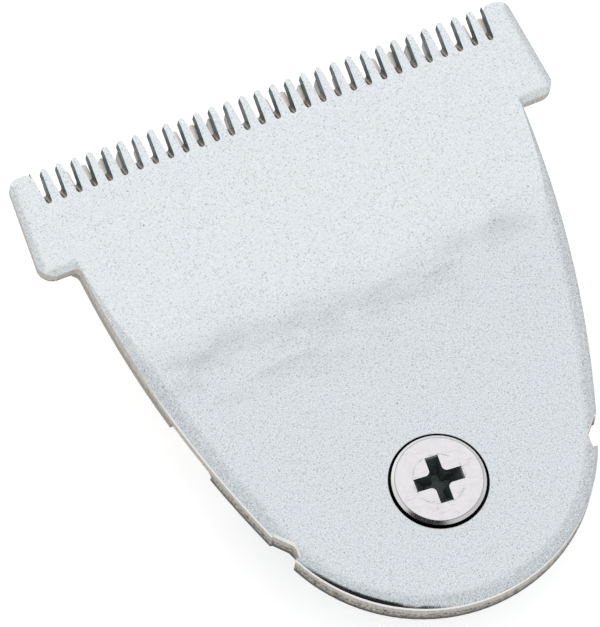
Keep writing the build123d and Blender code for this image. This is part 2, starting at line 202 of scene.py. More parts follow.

# %% [markdown]
# The fall of the face starts 13 mm behind the tooth tips. The front is painted a little whiter, a
# painted highlight where the tilted face catches more light, and just behind the line a band of
# darker smears is painted shade of the bend.

# %% Front and rear of the face
FRONT_STARTS = 1.0 * MM
FRONT_WHOLE = 6.8 * MM
SMEARS_START = -3.5 * MM
SMEARS_WHOLE = 2.6 * MM
SMEARS_FADE = 3.0 * MM
SMEARS_END = 5.4 * MM
LINE_WANDER = 6 * MM
SMEAR_SIZE = 1.6 * MM
SMEAR_STRETCH = 0.35
wobble = add_node(
    tree,
    "ShaderNodeMath",
    {"operation": "MULTIPLY_ADD"},
    values={1: LINE_WANDER, 2: -LINE_WANDER / 2},
    links={0: clouds.outputs[0]},
)
wavy_y = add_node(
    tree,
    "ShaderNodeMath",
    {"operation": "ADD"},
    links={0: spot.outputs["Y"], 1: wobble.outputs[0]},
)
front = add_node(
    tree,
    "ShaderNodeMapRange",
    {"interpolation_type": "SMOOTHSTEP"},
    values={"From Min": FRONT_STARTS, "From Max": FRONT_WHOLE},
    links={"Value": wavy_y.outputs[0]},
)
# Painted highlight: the face is made whiter towards the teeth.
face_colour = add_node(
    tree,
    "ShaderNodeMix",
    BLEND,
    values={UNDER: linear("dce2e6"), OVER: linear("e4e9ec")},
    links={0: front.outputs[0]},
)
band_rise = add_node(
    tree,
    "ShaderNodeMapRange",
    {"interpolation_type": "SMOOTHSTEP"},
    values={"From Min": SMEARS_END, "From Max": SMEARS_FADE},
    links={"Value": wavy_y.outputs[0]},
)
band_fall = add_node(
    tree,
    "ShaderNodeMapRange",
    {"interpolation_type": "SMOOTHSTEP"},
    values={"From Min": SMEARS_START, "From Max": SMEARS_WHOLE},
    links={"Value": wavy_y.outputs[0]},
)
bend_shade_band = add_node(
    tree,
    "ShaderNodeMath",
    {"operation": "MULTIPLY"},
    links={0: band_rise.outputs[0], 1: band_fall.outputs[0]},
)
smear_place = add_node(
    tree,
    "ShaderNodeMapping",
    values={"Scale": (SMEAR_STRETCH, 1.0, 1.0)},
    links={"Vector": place},
)
smears = add_node(
    tree,
    "ShaderNodeTexNoise",
    values={"Scale": 1 / SMEAR_SIZE, "Detail": 6.0, "Roughness": 0.62},
    links={"Vector": smear_place.outputs[0]},
)
smear = add_node(
    tree,
    "ShaderNodeMapRange",
    values={"From Min": 0.45, "From Max": 0.7, "To Max": 0.62},
    links={"Value": smears.outputs[0]},
)
# Painted shade: a darker band just behind the line of the fall, broken into smears by noise.
smeared_bend_shade = add_node(
    tree,
    "ShaderNodeMath",
    {"operation": "MULTIPLY"},
    links={0: bend_shade_band.outputs[0], 1: smear.outputs[0]},
)
face_colour = add_node(
    tree,
    "ShaderNodeMix",
    BLEND,
    values={OVER: linear("bec4c6")},
    links={0: smeared_bend_shade.outputs[0], UNDER: face_colour.outputs[MIXED]},
)
print("smears of", round(SMEAR_SIZE / MM, 2), "mm along the line of the fall")

# %% [markdown]
# The grain lightens and darkens the metal by a few percent. Specks and pits are cells of a
# Voronoi texture with only their middles dark. Every cell has a random colour of its own: it
# makes each speck a little darker or paler, and leaves out most of the pits.

# %% Grain and pits
PIT_SPACING = 0.3 * MM
SPECK_SPACING = 0.13 * MM  # about two pixels of the picture
grain_low = add_node(
    tree,
    "ShaderNodeMapRange",
    values={"To Min": 0.72, "To Max": 0.82},
    links={"Value": front.outputs[0]},
)
grain_high = add_node(
    tree,
    "ShaderNodeMath",
    {"operation": "SUBTRACT"},
    values={0: 2.0},
    links={1: grain_low.outputs[0]},
)
grain_shade = add_node(
    tree,
    "ShaderNodeMapRange",
    values={"From Min": NOISE_LOW, "From Max": NOISE_HIGH},
    links={
        "Value": grain.outputs[0],
        "To Min": grain_low.outputs[0],
        "To Max": grain_high.outputs[0],
    },
)
face_colour = add_node(
    tree,
    "ShaderNodeMix",
    MULTIPLY,
    values={0: 1.0},
    links={UNDER: face_colour.outputs[MIXED], OVER: grain_shade.outputs[0]},
)
specks = add_node(
    tree,
    "ShaderNodeTexVoronoi",
    values={"Scale": 1 / SPECK_SPACING},
    links={"Vector": place},
)
speck_pick = add_node(tree, "ShaderNodeSeparateColor", links={0: specks.outputs["Color"]})
speck_dark = add_node(
    tree,
    "ShaderNodeMapRange",
    values={"From Min": 0.5, "From Max": 1.0, "To Min": 1.0, "To Max": 0.66},
    links={"Value": speck_pick.outputs[0]},
)
speck_shade = add_node(
    tree,
    "ShaderNodeMapRange",
    values={"From Min": 0.25, "From Max": 0.5, "To Max": 1.0},
    links={"Value": specks.outputs["Distance"], "To Min": speck_dark.outputs[0]},
)
face_colour = add_node(
    tree,
    "ShaderNodeMix",
    MULTIPLY,
    values={0: 1.0},
    links={UNDER: face_colour.outputs[MIXED], OVER: speck_shade.outputs[0]},
)
pits = add_node(
    tree,
    "ShaderNodeTexVoronoi",
    values={"Scale": 1 / PIT_SPACING},
    links={"Vector": place},
)
pit_pick = add_node(tree, "ShaderNodeSeparateColor", links={0: pits.outputs["Color"]})
pit_limit = add_node(
    tree,
    "ShaderNodeMapRange",
    values={"From Min": 0.75, "From Max": 1.0, "To Max": 0.22},
    links={"Value": pit_pick.outputs[0]},
)
pit_depth = add_node(
    tree,
    "ShaderNodeMath",
    {"operation": "SUBTRACT"},
    links={0: pit_limit.outputs[0], 1: pits.outputs["Distance"]},
)
pit_mask = add_node(
    tree,
    "ShaderNodeMapRange",
    values={"From Min": 0.0, "From Max": 0.1, "To Max": 0.7},
    links={"Value": pit_depth.outputs[0]},
)
face_colour = add_node(
    tree,
    "ShaderNodeMix",
    BLEND,
    values={OVER: linear("767c80")},
    links={0: pit_mask.outputs[0], UNDER: face_colour.outputs[MIXED]},
)
print("specks", round(SPECK_SPACING / MM, 2), "mm apart, pits", round(PIT_SPACING / MM, 1), "mm")

# %% [markdown]
# ### The sheared edge
# The plate was cut from sheet by a press. The punch leaves the upper part of the edge smooth and
# the lower part torn, with fine marks up and down; its foot is darkened with painted shade. Round
# the tail a thin painted highlight runs along the top of the edge. It is less chromed than the
# face, so it is a warmer grey.

# %% Walls of the comb plate
STREAK_WIDTH = 0.14 * MM
STREAK_STRETCH = 0.15
TEAR_SIZE = 0.2 * MM
TEAR_LEVEL = 6.1 * MM
TEAR_WANDER = 0.9 * MM
RIM_LEVEL = 6.65 * MM  # top of the tail's wall, under its rounded shoulder
RIM_HIGHLIGHT_ENDS = 4.0 * MM  # ahead of this there is no bright rim
upright_place = add_node(
    tree,
    "ShaderNodeMapping",
    values={"Scale": (1.0, 1.0, STREAK_STRETCH)},
    links={"Vector": place},
)
streaks = add_node(
    tree,
    "ShaderNodeTexNoise",
    values={"Scale": 1 / STREAK_WIDTH, "Detail": 4.0, "Roughness": 0.7},
    links={"Vector": upright_place.outputs[0]},
)
wavy_z = add_node(
    tree,
    "ShaderNodeMath",
    {"operation": "MULTIPLY_ADD"},
    values={1: TEAR_WANDER},
    links={0: clouds.outputs[0], 2: spot.outputs["Z"]},
)
torn = add_node(
    tree,
    "ShaderNodeMapRange",
    values={"From Min": TEAR_LEVEL + 0.5 * MM, "From Max": TEAR_LEVEL + 0.35 * MM},
    links={"Value": wavy_z.outputs[0]},
)
wall_colour = add_node(
    tree,
    "ShaderNodeMix",
    BLEND,
    values={UNDER: linear("bab7b0"), OVER: linear("aca89f")},
    links={0: torn.outputs[0]},
)
streak_shade = add_node(
    tree,
    "ShaderNodeMapRange",
    values={"From Min": NOISE_LOW, "From Max": NOISE_HIGH, "To Min": 0.72, "To Max": 1.08},
    links={"Value": streaks.outputs[0]},
)
wall_colour = add_node(
    tree,
    "ShaderNodeMix",
    MULTIPLY,
    values={0: 1.0},
    links={UNDER: wall_colour.outputs[MIXED], OVER: streak_shade.outputs[0]},
)
tears = add_node(
    tree,
    "ShaderNodeTexNoise",
    values={"Scale": 1 / TEAR_SIZE, "Detail": 3.0, "Roughness": 0.7},
    links={"Vector": place},
)
tear_depth = add_node(
    tree,
    "ShaderNodeMapRange",
    values={"From Min": 0.38, "From Max": 0.56, "To Min": 0.12, "To Max": 1.1},
    links={"Value": tears.outputs[0]},
)
tear_shade = add_node(
    tree,
    "ShaderNodeMix",
    values={2: 1.0},
    links={0: torn.outputs[0], 3: tear_depth.outputs[0]},
)
wall_colour = add_node(
    tree,
    "ShaderNodeMix",
    MULTIPLY,
    values={0: 1.0},
    links={UNDER: wall_colour.outputs[MIXED], OVER: tear_shade.outputs[0]},
)
# Painted shade: the foot of the wall is darkened.
painted_foot_shade = add_node(
    tree,
    "ShaderNodeMapRange",
    {"interpolation_type": "SMOOTHSTEP"},
    values={"From Min": TEAR_LEVEL - 0.35 * MM, "From Max": TEAR_LEVEL - 0.75 * MM, "To Max": 0.85},
    links={"Value": spot.outputs["Z"]},
)
# Painted highlight: a thin bright line along the top of the tail's wall.
rim_highlight_rise = add_node(
    tree,
    "ShaderNodeMapRange",
    values={"From Min": RIM_LEVEL - 0.09 * MM, "From Max": RIM_LEVEL - 0.03 * MM},
    links={"Value": spot.outputs["Z"]},
)
on_tail = add_node(
    tree,
    "ShaderNodeMapRange",
    values={"From Min": RIM_HIGHLIGHT_ENDS, "From Max": 0.0, "To Max": 0.8},
    links={"Value": spot.outputs["Y"]},
)
painted_rim_highlight = add_node(
    tree,
    "ShaderNodeMath",
    {"operation": "MULTIPLY"},
    links={0: rim_highlight_rise.outputs[0], 1: on_tail.outputs[0]},
)
wall_colour = add_node(
    tree,
    "ShaderNodeMix",
    BLEND,
    values={OVER: linear("38362f")},
    links={0: painted_foot_shade.outputs[0], UNDER: wall_colour.outputs[MIXED]},
)
wall_colour = add_node(
    tree,
    "ShaderNodeMix",
    BLEND,
    values={OVER: linear("f4f4f2")},
    links={0: painted_rim_highlight.outputs[0], UNDER: wall_colour.outputs[MIXED]},
)
level = add_node(tree, "ShaderNodeMath", {"operation": "ABSOLUTE"}, links={0: facing.outputs["Z"]})
wall = add_node(
    tree,
    "ShaderNodeMapRange",
    values={"From Min": 0.7, "From Max": 0.5},
    links={"Value": level.outputs[0]},
)
comb_colour = add_node(
    tree,
    "ShaderNodeMix",
    BLEND,
    links={0: wall.outputs[0], UNDER: face_colour.outputs[MIXED], OVER: wall_colour.outputs[MIXED]},
)
print("the edge tears below Z", round(TEAR_LEVEL / MM, 1), "mm")

# %% [markdown]
# ### The ground tooth gaps
# Each gap is ground after the plate is chromed, so its ramp and flanks are bare steel, browner on
# the ramp and teal-grey on the flanks. The flanks turn blue-black towards the tips with painted
# shade, where they face the shadowed floor under the teeth. Grinding leaves an oxide skin, so
# these faces are only half a metal.

# %% Gaps of the comb plate
GAP_START = 14.85 * MM
ROW_HALF = 14.7 * MM
FLANK_SHADE_STARTS = 15.9 * MM
FLANK_SHADE_WHOLE = 17.3 * MM
OXIDE_METAL = 0.45
across = add_node(tree, "ShaderNodeMath", {"operation": "ABSOLUTE"}, links={0: spot.outputs["X"]})
in_row = add_node(
    tree,
    "ShaderNodeMath",
    {"operation": "LESS_THAN"},
    values={1: ROW_HALF},
    links={0: across.outputs[0]},
)
in_teeth = add_node(
    tree,
    "ShaderNodeMath",
    {"operation": "GREATER_THAN"},
    values={1: GAP_START},
    links={0: spot.outputs["Y"]},
)
off_face = add_node(
    tree,
    "ShaderNodeMapRange",
    values={"From Min": 0.88, "From Max": 0.82},
    links={"Value": level.outputs[0]},
)
gap_zone = add_node(
    tree,
    "ShaderNodeMath",
    {"operation": "MULTIPLY"},
    links={0: in_row.outputs[0], 1: in_teeth.outputs[0]},
)
gap_cut = add_node(
    tree,
    "ShaderNodeMath",
    {"operation": "MULTIPLY"},
    links={0: gap_zone.outputs[0], 1: off_face.outputs[0]},
)
ramp = add_node(
    tree,
    "ShaderNodeMapRange",
    values={"From Min": 0.15, "From Max": 0.6},
    links={"Value": facing.outputs["Z"]},
)
# Painted shade: the flanks darken towards the tooth tips.
painted_flank_shade = add_node(
    tree,
    "ShaderNodeMapRange",
    {"interpolation_type": "SMOOTHSTEP"},
    values={"From Min": FLANK_SHADE_STARTS, "From Max": FLANK_SHADE_WHOLE},
    links={"Value": spot.outputs["Y"]},
)
flank_colour = add_node(
    tree,
    "ShaderNodeMix",
    BLEND,
    values={UNDER: linear("8fa5aa"), OVER: linear("33393d")},
    links={0: painted_flank_shade.outputs[0]},
)
gap_colour = add_node(
    tree,
    "ShaderNodeMix",
    BLEND,
    values={OVER: linear("9c9388")},
    links={0: ramp.outputs[0], UNDER: flank_colour.outputs[MIXED]},
)
gap_colour = add_node(
    tree,
    "ShaderNodeMix",
    MULTIPLY,
    values={0: 1.0},
    links={UNDER: gap_colour.outputs[MIXED], OVER: streak_shade.outputs[0]},
)
comb_colour = add_node(
    tree,
    "ShaderNodeMix",
    BLEND,
    links={
        0: gap_cut.outputs[0],
        UNDER: comb_colour.outputs[MIXED],
        OVER: gap_colour.outputs[MIXED],
    },
)
print("ground gaps ahead of Y", round(GAP_START / MM, 2), "mm")

# %% [markdown]
# The wall of the step round the screw head is painted nearly black below, as painted shade in the
# narrow gap round the head.

# %% Screw step of the comb plate
STEP_TOP = 7.2 * MM
STEP_INSIDE = 2.98 * MM
STEP_OUTSIDE = 3.02 * MM
screw_radius = screw_distance(tree, place)
in_step = add_node(
    tree,
    "ShaderNodeMapRange",
    values={"From Min": STEP_OUTSIDE, "From Max": STEP_INSIDE},
    links={"Value": screw_radius},
)
# Painted shade: the step's wall darkens below its top.
painted_gap_shade = add_node(
    tree,
    "ShaderNodeMapRange",
    values={"From Min": STEP_TOP - 0.05 * MM, "From Max": STEP_TOP - 0.35 * MM},
    links={"Value": spot.outputs["Z"]},
)
step_colour_with_shade = add_node(
    tree,
    "ShaderNodeMix",
    BLEND,
    values={UNDER: linear("c9c6c0"), OVER: linear("1c1e20")},
    links={0: painted_gap_shade.outputs[0]},
)
comb_colour = add_node(
    tree,
    "ShaderNodeMix",
    BLEND,
    links={
        0: in_step.outputs[0],
        UNDER: comb_colour.outputs[MIXED],
        OVER: step_colour_with_shade.outputs[MIXED],
    },
)
print("dirt from", round(STEP_TOP / MM, 1), "mm down")

# %% [markdown]
# Roughness follows the same story: satin on the face, smoother on the tumbled shoulders, which is
# why a dark line of the room shows there, and rougher on the torn edge. The relief is in bump,
# because a pit is a few hundredths of a millimetre deep.

# %% Gloss and relief of the comb plate
face_gloss = add_node(
    tree,
    "ShaderNodeMapRange",
    values={"From Min": NOISE_LOW, "From Max": NOISE_HIGH, "To Min": 0.36, "To Max": 0.5},
    links={"Value": grain.outputs[0]},
)
shoulder = add_node(
    tree,
    "ShaderNodeMapRange",
    values={"From Min": 0.99, "From Max": 0.9},
    links={"Value": level.outputs[0]},
)
shoulder_gloss = add_node(
    tree,
    "ShaderNodeMix",
    values={3: 0.12},
    links={0: shoulder.outputs[0], 2: face_gloss.outputs[0]},
)
comb_gloss = add_node(
    tree,
    "ShaderNodeMix",
    values={3: 0.5},
    links={0: wall.outputs[0], 2: shoulder_gloss.outputs[0]},
)
face_relief = add_node(
    tree,
    "ShaderNodeBump",
    values={"Strength": 0.5, "Distance": 0.006 * MM},
    links={"Height": grain.outputs[0]},
)
wall_relief = add_node(
    tree,
    "ShaderNodeMath",
    {"operation": "MULTIPLY"},
    links={0: streaks.outputs[0], 1: wall.outputs[0]},
)
comb_relief = add_node(
    tree,
    "ShaderNodeBump",
    values={"Strength": 0.8, "Distance": 0.03 * MM},
    links={"Height": wall_relief.outputs[0], "Normal": face_relief.outputs[0]},
)
comb_metal = add_node(
    tree,
    "ShaderNodeMapRange",
    values={"To Min": 1.0, "To Max": OXIDE_METAL},
    links={"Value": gap_cut.outputs[0]},
)
shader = add_node(
    tree,
    "ShaderNodeBsdfPrincipled",
    links={
        "Base Color": comb_colour.outputs[MIXED],
        "Metallic": comb_metal.outputs[0],
        "Roughness": comb_gloss.outputs[0],
        "Normal": comb_relief.outputs[0],
    },
)
give(comb_steel, shader, "comb_plate")

# %% [markdown]
# ## Cutter: bare tool steel, surface ground
# The moving blade isn't chromed. It is ground on a wheel that runs along the row of teeth, which
# leaves fine lines in that direction and a slightly warm, brighter grey. Its edges stay dark.

# %% Cutter steel
cutter_steel, tree = new_material("ground_tool_steel")
here = add_node(tree, "ShaderNodeTexCoord").outputs
place = here["Object"]
facing = add_node(tree, "ShaderNodeSeparateXYZ", links={0: here["Normal"]})
LINE_WIDTH = 0.05 * MM  # grit marks, really half as wide: drawn as coarse as they need to show
LINE_STRETCH = 0.03
lines_place = add_node(
    tree,
    "ShaderNodeMapping",
    values={"Scale": (LINE_STRETCH, 1.0, 1.0)},
    links={"Vector": place},
)
lines = add_node(
    tree,
    "ShaderNodeTexNoise",
    values={"Scale": 1 / LINE_WIDTH, "Detail": 3.0, "Roughness": 0.6},
    links={"Vector": lines_place.outputs[0]},
)
line_shade = add_node(
    tree,
    "ShaderNodeMapRange",
    values={"From Min": NOISE_LOW, "From Max": NOISE_HIGH, "To Min": 0.86, "To Max": 1.05},
    links={"Value": lines.outputs[0]},
)
flat_side = add_node(
    tree,
    "ShaderNodeMath",
    {"operation": "ABSOLUTE"},
    links={0: facing.outputs["Z"]},
)
on_flat = add_node(
    tree,
    "ShaderNodeMapRange",
    values={"From Min": 0.4, "From Max": 0.8},
    links={"Value": flat_side.outputs[0]},
)
cutter_colour = add_node(
    tree,
    "ShaderNodeMix",
    BLEND,
    values={UNDER: linear("7a756e"), OVER: linear("d6d0c8")},
    links={0: on_flat.outputs[0]},
)
cutter_colour = add_node(
    tree,
    "ShaderNodeMix",
    MULTIPLY,
    values={0: 1.0},
    links={UNDER: cutter_colour.outputs[MIXED], OVER: line_shade.outputs[0]},
)
cutter_relief = add_node(
    tree,
    "ShaderNodeBump",
    values={"Strength": 0.4, "Distance": 0.004 * MM},
    links={"Height": lines.outputs[0]},
)
shader = add_node(
    tree,
    "ShaderNodeBsdfPrincipled",
    values={"Metallic": 1.0, "Roughness": 0.32},
    links={"Base Color": cutter_colour.outputs[MIXED], "Normal": cutter_relief.outputs[0]},
)
give(cutter_steel, shader, "cutter_blade")

# %% [markdown]
# ## Screw: steel, nickel plated and scuffed by the driver
# Nickel is a slightly warm, bright metal. The head is smoother than the plate. The driver has
# left a thin worn circle round the recess. The recess and the head's side are painted black as
# painted shade.

# %% Screw nickel
screw_nickel, tree = new_material("nickel_plated_steel")
here = add_node(tree, "ShaderNodeTexCoord").outputs
place = here["Object"]
spot = add_node(tree, "ShaderNodeSeparateXYZ", links={0: place})
facing = add_node(tree, "ShaderNodeSeparateXYZ", links={0: here["Normal"]})
# This grey draws the worn circle, and also the painted shade line round the head's face.
SCUFF_AND_CREASE_GREY = linear("6f6c6c")
SCUFF_RADIUS = 1.57 * MM  # just outside the wings of the recess
SCUFF_WIDTH = 0.035 * MM
SCUFF_WANDER = 0.3 * MM
WEAR_SIZE = 0.5 * MM
SCRATCH_WIDTH = 0.06 * MM  # really finer: drawn a pixel wide
screw_radius = screw_distance(tree, place)
wear = add_node(
    tree,
    "ShaderNodeTexNoise",
    values={"Scale": 1 / WEAR_SIZE, "Detail": 4.0, "Roughness": 0.7},
    links={"Vector": place},
)
wear_push = add_node(
    tree,
    "ShaderNodeMath",
    {"operation": "MULTIPLY_ADD"},
    values={1: SCUFF_WANDER, 2: -SCUFF_WANDER / 2},
    links={0: wear.outputs[0]},
)
worn_radius = add_node(
    tree,
    "ShaderNodeMath",
    {"operation": "ADD"},
    links={0: screw_radius, 1: wear_push.outputs[0]},
)
off_circle = add_node(
    tree,
    "ShaderNodeMath",
    {"operation": "SUBTRACT"},
    values={1: SCUFF_RADIUS},
    links={0: worn_radius.outputs[0]},
)
circle_distance = add_node(
    tree,
    "ShaderNodeMath",
    {"operation": "ABSOLUTE"},
    links={0: off_circle.outputs[0]},
)
circle = add_node(
    tree,
    "ShaderNodeMapRange",
    values={"From Min": SCUFF_WIDTH, "From Max": 0.0},
    links={"Value": circle_distance.outputs[0]},
)
broken = add_node(
    tree,
    "ShaderNodeMapRange",
    values={"From Min": 0.42, "From Max": 0.55, "To Max": 0.7},
    links={"Value": wear.outputs[0]},
)
scuff = add_node(
    tree,
    "ShaderNodeMath",
    {"operation": "MULTIPLY"},
    links={0: circle.outputs[0], 1: broken.outputs[0]},
)
nickel_colour = add_node(
    tree,
    "ShaderNodeMix",
    BLEND,
    values={UNDER: linear("dcd9dc"), OVER: SCUFF_AND_CREASE_GREY},
    links={0: scuff.outputs[0]},
)
scratch_place = add_node(
    tree,
    "ShaderNodeMapping",
    values={"Rotation": (0.0, 0.0, 0.6), "Scale": (0.08, 1.0, 1.0)},
    links={"Vector": place},
)
scratches = add_node(
    tree,
    "ShaderNodeTexNoise",
    values={"Scale": 1 / SCRATCH_WIDTH, "Detail": 1.0},
    links={"Vector": scratch_place.outputs[0]},
)
scratch_shade = add_node(
    tree,
    "ShaderNodeMapRange",
    values={"From Min": 0.66, "From Max": 0.72, "To Min": 1.0, "To Max": 0.72},
    links={"Value": scratches.outputs[0]},
)
nickel_colour = add_node(
    tree,
    "ShaderNodeMix",
    MULTIPLY,
    values={0: 1.0},
    links={UNDER: nickel_colour.outputs[MIXED], OVER: scratch_shade.outputs[0]},
)
print("worn circle of radius", round(SCUFF_RADIUS / MM, 2), "mm")

# %% [markdown]
# The turned chamfer round the head is painted white as a painted highlight, and a thin painted
# shade line parts it from the face.

# %% Rim of the screw head
RIM_RADIUS = 2.6 * MM
rim_offset = add_node(
    tree,
    "ShaderNodeMath",
    {"operation": "SUBTRACT"},
    values={1: RIM_RADIUS},
    links={0: screw_radius},
)
rim_distance = add_node(
    tree,
    "ShaderNodeMath",
    {"operation": "ABSOLUTE"},
    links={0: rim_offset.outputs[0]},
)
painted_crease_line = add_node(
    tree,
    "ShaderNodeMapRange",
    values={"From Min": 0.04 * MM, "From Max": 0.01 * MM, "To Max": 0.6},
    links={"Value": rim_distance.outputs[0]},
)
# Painted highlight: the chamfer is made white.
painted_chamfer_highlight = add_node(
    tree,
    "ShaderNodeMapRange",
    values={"From Min": 0.95, "From Max": 0.85},
    links={"Value": facing.outputs["Z"]},
)
nickel_colour = add_node(
    tree,
    "ShaderNodeMix",
    BLEND,
    values={OVER: linear("ffffff")},
    links={0: painted_chamfer_highlight.outputs[0], UNDER: nickel_colour.outputs[MIXED]},
)
nickel_colour = add_node(
    tree,
    "ShaderNodeMix",
    BLEND,
    values={OVER: SCUFF_AND_CREASE_GREY},
    links={0: painted_crease_line.outputs[0], UNDER: nickel_colour.outputs[MIXED]},
)
print("hair line of radius", round(RIM_RADIUS / MM, 1), "mm")

# %% [markdown]
# The dark is painted shade, by a mask of place and facing: inside the recess and below the top,
# and down the side of the head. In the recess the painted shade has paler crumbs of hair in it,
# and it isn't a metal there.

# %% Painted shade on the screw
HEAD_TOP = 7.55 * MM
RECESS_REACH = 2.0 * MM  # past the ends of its wings
CRUMB_SIZE = 0.12 * MM
below_top = add_node(
    tree,
    "ShaderNodeMapRange",
    values={"From Min": HEAD_TOP - 0.04 * MM, "From Max": HEAD_TOP - 0.14 * MM},
    links={"Value": spot.outputs["Z"]},
)
near_axis = add_node(
    tree,
    "ShaderNodeMath",
    {"operation": "LESS_THAN"},
    values={1: RECESS_REACH},
    links={0: screw_radius},
)
in_recess = add_node(
    tree,
    "ShaderNodeMath",
    {"operation": "MULTIPLY"},
    links={0: below_top.outputs[0], 1: near_axis.outputs[0]},
)
# Painted shade: the side of the head is made nearly black.
painted_head_side_shade = add_node(
    tree,
    "ShaderNodeMapRange",
    values={"From Min": 0.45, "From Max": 0.25},
    links={"Value": facing.outputs["Z"]},
)
nickel_colour = add_node(
    tree,
    "ShaderNodeMix",
    BLEND,
    values={OVER: linear("14171a")},
    links={0: painted_head_side_shade.outputs[0], UNDER: nickel_colour.outputs[MIXED]},
)
crumbs = add_node(
    tree,
    "ShaderNodeTexNoise",
    values={"Scale": 1 / CRUMB_SIZE, "Detail": 2.0, "Roughness": 0.7},
    links={"Vector": place},
)
crumb_mask = add_node(
    tree,
    "ShaderNodeMapRange",
    values={"From Min": 0.5, "From Max": 0.72},
    links={"Value": crumbs.outputs[0]},
)
# Painted shade in the recess, with paler crumbs of hair.
recess_shade_and_crumbs = add_node(
    tree,
    "ShaderNodeMix",
    BLEND,
    values={UNDER: linear("3a4644"), OVER: linear("6c7674")},
    links={0: crumb_mask.outputs[0]},
)
nickel_colour = add_node(
    tree,
    "ShaderNodeMix",
    BLEND,
    links={
        0: in_recess.outputs[0],
        UNDER: nickel_colour.outputs[MIXED],
        OVER: recess_shade_and_crumbs.outputs[MIXED],
    },
)
metal_left = add_node(
    tree,
    "ShaderNodeMath",
    {"operation": "SUBTRACT"},
    values={0: 1.0},
    links={1: in_recess.outputs[0]},
)
nickel_gloss = add_node(
    tree,
    "ShaderNodeMapRange",
    values={"From Min": NOISE_LOW, "From Max": NOISE_HIGH, "To Min": 0.18, "To Max": 0.34},
    links={"Value": wear.outputs[0]},
)
recess_gloss = add_node(
    tree,
    "ShaderNodeMix",
    values={3: 0.55},
    links={0: in_recess.outputs[0], 2: nickel_gloss.outputs[0]},
)
shader = add_node(
    tree,
    "ShaderNodeBsdfPrincipled",
    links={
        "Base Color": nickel_colour.outputs[MIXED],
        "Metallic": metal_left.outputs[0],
        "Roughness": recess_gloss.outputs[0],
    },
)
give(screw_nickel, shader, "clamp_screw")

# %% [markdown]
# ## Carrier: black ABS from a spark-eroded mould
# Spark erosion leaves the mould covered with tiny craters, so the plastic comes out with a fine,
# dull leather of about a tenth of a millimetre. Handling polishes it in patches: the gloss
# changes there, and the black turns a touch greyer.

# %% Carrier plastic
carrier_plastic, tree = new_material("spark_textured_black_abs")
place = add_node(tree, "ShaderNodeTexCoord").outputs["Object"]
CRATER_SIZE = 0.11 * MM
RUB_SIZE = 3.0 * MM
craters = add_node(
    tree,
    "ShaderNodeTexNoise",
    values={"Scale": 1 / CRATER_SIZE, "Detail": 2.0, "Roughness": 0.6},
    links={"Vector": place},
)
patches = add_node(
    tree,
    "ShaderNodeTexNoise",
    values={"Scale": 1 / RUB_SIZE, "Detail": 4.0, "Roughness": 0.6},
    links={"Vector": place},
)
rubbed = add_node(
    tree,
    "ShaderNodeMapRange",
    values={"From Min": 0.45, "From Max": 0.65},
    links={"Value": patches.outputs[0]},
)
abs_colour = add_node(
    tree,
    "ShaderNodeMix",
    BLEND,
    values={UNDER: linear("1b1b1e"), OVER: linear("2a2a2e")},
    links={0: rubbed.outputs[0]},
)
crater_shade = add_node(
    tree,
    "ShaderNodeMapRange",
    values={"From Min": NOISE_LOW, "From Max": NOISE_HIGH, "To Min": 0.7, "To Max": 1.2},
    links={"Value": craters.outputs[0]},
)
abs_colour = add_node(
    tree,
    "ShaderNodeMix",
    MULTIPLY,
    values={0: 1.0},
    links={UNDER: abs_colour.outputs[MIXED], OVER: crater_shade.outputs[0]},
)
abs_gloss = add_node(
    tree,
    "ShaderNodeMapRange",
    values={"To Min": 0.6, "To Max": 0.42},
    links={"Value": rubbed.outputs[0]},
)
abs_relief = add_node(
    tree,
    "ShaderNodeBump",
    values={"Strength": 0.7, "Distance": 0.02 * MM},
    links={"Height": craters.outputs[0]},
)
shader = add_node(
    tree,
    "ShaderNodeBsdfPrincipled",
    links={
        "Base Color": abs_colour.outputs[MIXED],
        "Roughness": abs_gloss.outputs[0],
        "Normal": abs_relief.outputs[0],
    },
)
give(carrier_plastic, shader, "blade_carrier")

# %% [markdown]
# ## Follower: white acetal
# Acetal is a slippery, milky plastic: light goes a little way in before it comes back. It yellows
# slightly in use, and grey steel dust settles in soft clouds where the blade wears.

# %% Follower plastic
follower_plastic, tree = new_material("worn_white_acetal")
place = add_node(tree, "ShaderNodeTexCoord").outputs["Object"]
DUST_SIZE = 1.6 * MM
LIGHT_DEPTH = 0.3 * MM
dust = add_node(
    tree,
    "ShaderNodeTexNoise",
    values={"Scale": 1 / DUST_SIZE, "Detail": 6.0, "Roughness": 0.65},
    links={"Vector": place},
)
dusty = add_node(
    tree,
    "ShaderNodeMapRange",
    values={"From Min": 0.48, "From Max": 0.75, "To Max": 0.6},
    links={"Value": dust.outputs[0]},
)
acetal_colour = add_node(
    tree,
    "ShaderNodeMix",
    BLEND,
    values={UNDER: linear("e8e6de"), OVER: linear("b9b8b3")},
    links={0: dusty.outputs[0]},
)
acetal_gloss = add_node(
    tree,
    "ShaderNodeMapRange",
    values={"To Min": 0.32, "To Max": 0.6},
    links={"Value": dusty.outputs[0]},
)
acetal_relief = add_node(
    tree,
    "ShaderNodeBump",
    values={"Strength": 0.3, "Distance": 0.01 * MM},
    links={"Height": dust.outputs[0]},
)
shader = add_node(
    tree,
    "ShaderNodeBsdfPrincipled",
    values={
        "Subsurface Weight": 0.15,
        "Subsurface Radius": (1.0, 0.9, 0.75),
        "Subsurface Scale": LIGHT_DEPTH,
    },
    links={
        "Base Color": acetal_colour.outputs[MIXED],
        "Roughness": acetal_gloss.outputs[0],
        "Normal": acetal_relief.outputs[0],
    },
)
give(follower_plastic, shader, "drive_follower")

# %% [markdown]
# ## Spring: drawn stainless wire
# A die draws the wire and leaves hair-fine lines along it. Most of this spring runs across the
# blade, so the lines are noise stretched that way. Bending and oil leave faint brown stains.

